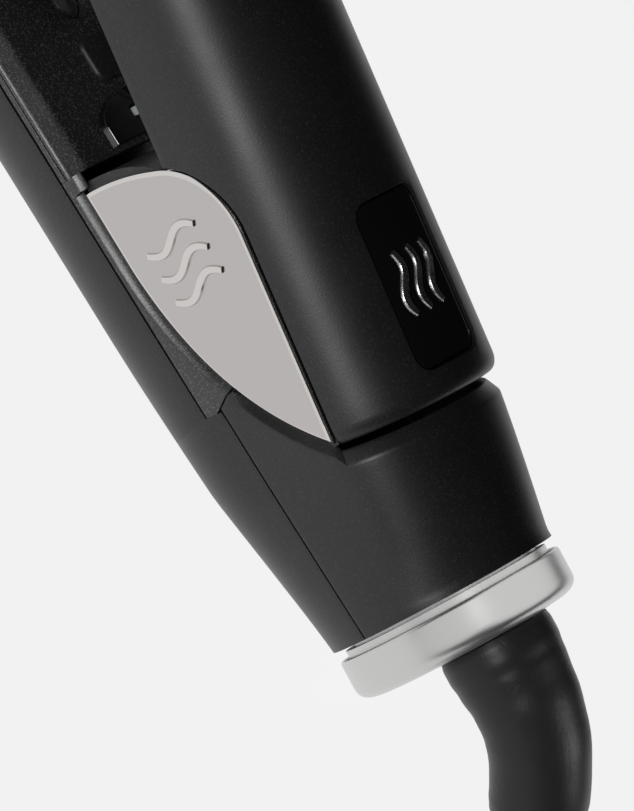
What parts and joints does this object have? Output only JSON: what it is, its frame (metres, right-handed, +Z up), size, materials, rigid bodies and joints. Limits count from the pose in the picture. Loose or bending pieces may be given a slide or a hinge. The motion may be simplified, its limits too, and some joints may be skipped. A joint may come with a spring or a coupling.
{
  "type": "hair styling iron",
  "caption": "Two-arm hair straightening iron lying open, with sprung hinge, metal side inserts, floating heated plates, swivelling cord boot and coiled lead with plug.",
  "frame": {"origin": "on the supporting surface, under the middle of the iron (nose to end collar)", "axes": "+X along the iron from the nose to the cord; +Z up, away from the surface the lower arm lies on; hinge pin along Y"},
  "size_m": [0.5255, 0.0564, 0.0823],
  "materials": {
    "soft_shell": "soft-touch charcoal black with fine sparkle",
    "textured_plastic": "spark-eroded fine texture, black",
    "gloss_black": "piano black gloss",
    "heat_plastic": "glass-filled heat-resistant black",
    "plate": "dark ceramic-coated aluminium",
    "heater_ceramic": "unglazed alumina heater",
    "silicone": "red-brown silicone",
    "steel": "zinc-plated steel",
    "board": "green circuit board",
    "lens": "milky light pipe",
    "emblem_metal": "pearled silver",
    "insert_metal": "warm satin metal with polished bevel",
    "collar_metal": "polished",
    "brass": "turned brass",
    "boot_rubber": "matt black, fine leathery grain",
    "lead_rubber": "matt black lead",
    "tie_strap": "woven hook and loop strap",
    "plug_plastic": "moulded black, satin"
  },
  "bodies": {
    "lower_arm": {"lower_tip": "heat_plastic", "lower_plate_holder": "heat_plastic", "lower_cushion_front": "silicone", "lower_cushion_rear": "silicone", "lower_screw_front": "steel", "lower_screw_rear": "steel", "lower_outer_shell": "soft_shell", "lower_inner_shell": "textured_plastic", "control_island": "gloss_black", "status_lens": "lens", "circuit_board": "board", "rear_top_shell": "soft_shell", "hinge_knuckle": "textured_plastic", "side_insert_left": "insert_metal", "side_insert_right": "insert_metal", "hinge_pin": "steel", "hinge_washer_left": "brass", "hinge_washer_right": "brass", "hinge_spring": "steel", "end_collar": "collar_metal", "cord_clamp": "heat_plastic", "cord_run": "lead_rubber", "cord_coil": "lead_rubber", "coil_tie": "tie_strap", "cord_tail": "lead_rubber", "plug_body": "plug_plastic", "plug_pin_left": "brass", "plug_pin_right": "brass"},
    "upper_arm": {"upper_tip": "heat_plastic", "upper_plate_holder": "heat_plastic", "upper_cushion_front": "silicone", "upper_cushion_rear": "silicone", "upper_screw_front": "steel", "upper_screw_rear": "steel", "upper_outer_shell": "soft_shell", "upper_inner_shell": "textured_plastic", "badge_window": "gloss_black", "badge_emblem": "emblem_metal", "upper_hinge_frame": "steel"},
    "lower_plate": {"lower_heating_plate": "plate", "lower_heater": "heater_ceramic"},
    "upper_plate": {"upper_heating_plate": "plate", "upper_heater": "heater_ceramic"},
    "power_key": {"power_button": "textured_plastic"},
    "swivel": {"swivel_bush": "heat_plastic", "cord_boot": "boot_rubber"}
  },
  "joints": [
    {"name": "arm_hinge", "type": "hinge", "parent": "lower_arm", "child": "upper_arm", "pos_m": [0.081, 0, 0.0243], "axis": [0, -1, 0], "range_deg": [0, 11.2], "stiffness_Nm_per_rad": 1.2, "springref_deg": -20.05, "deforming": ["hinge_spring"]},
    {"name": "lower_plate_float", "type": "slide", "parent": "lower_arm", "child": "lower_plate", "axis": [0, 0, -1], "range_m": [0, 0.0009], "stiffness_N_per_m": 4000, "springref_m": -0.001, "deforming": ["lower_cushion_front", "lower_cushion_rear"]},
    {"name": "upper_plate_float", "type": "slide", "parent": "upper_arm", "child": "upper_plate", "axis": [0.196, 0, 0.9806], "range_m": [0, 0.0009], "stiffness_N_per_m": 4000, "springref_m": -0.001, "deforming": ["upper_cushion_front", "upper_cushion_rear"]},
    {"name": "power_press", "type": "slide", "parent": "lower_arm", "child": "power_key", "axis": [0, 0, -1], "range_m": [0, 0.0005], "stiffness_N_per_m": 1500, "springref_m": -0.001},
    {"name": "cord_swivel", "type": "hinge", "parent": "lower_arm", "child": "swivel", "pos_m": [0.1336, 0, 0.0222], "axis": [0.9969, 0, -0.0785], "range_deg": [-60, 60], "deforming": ["cord_run"]}
  ]
}
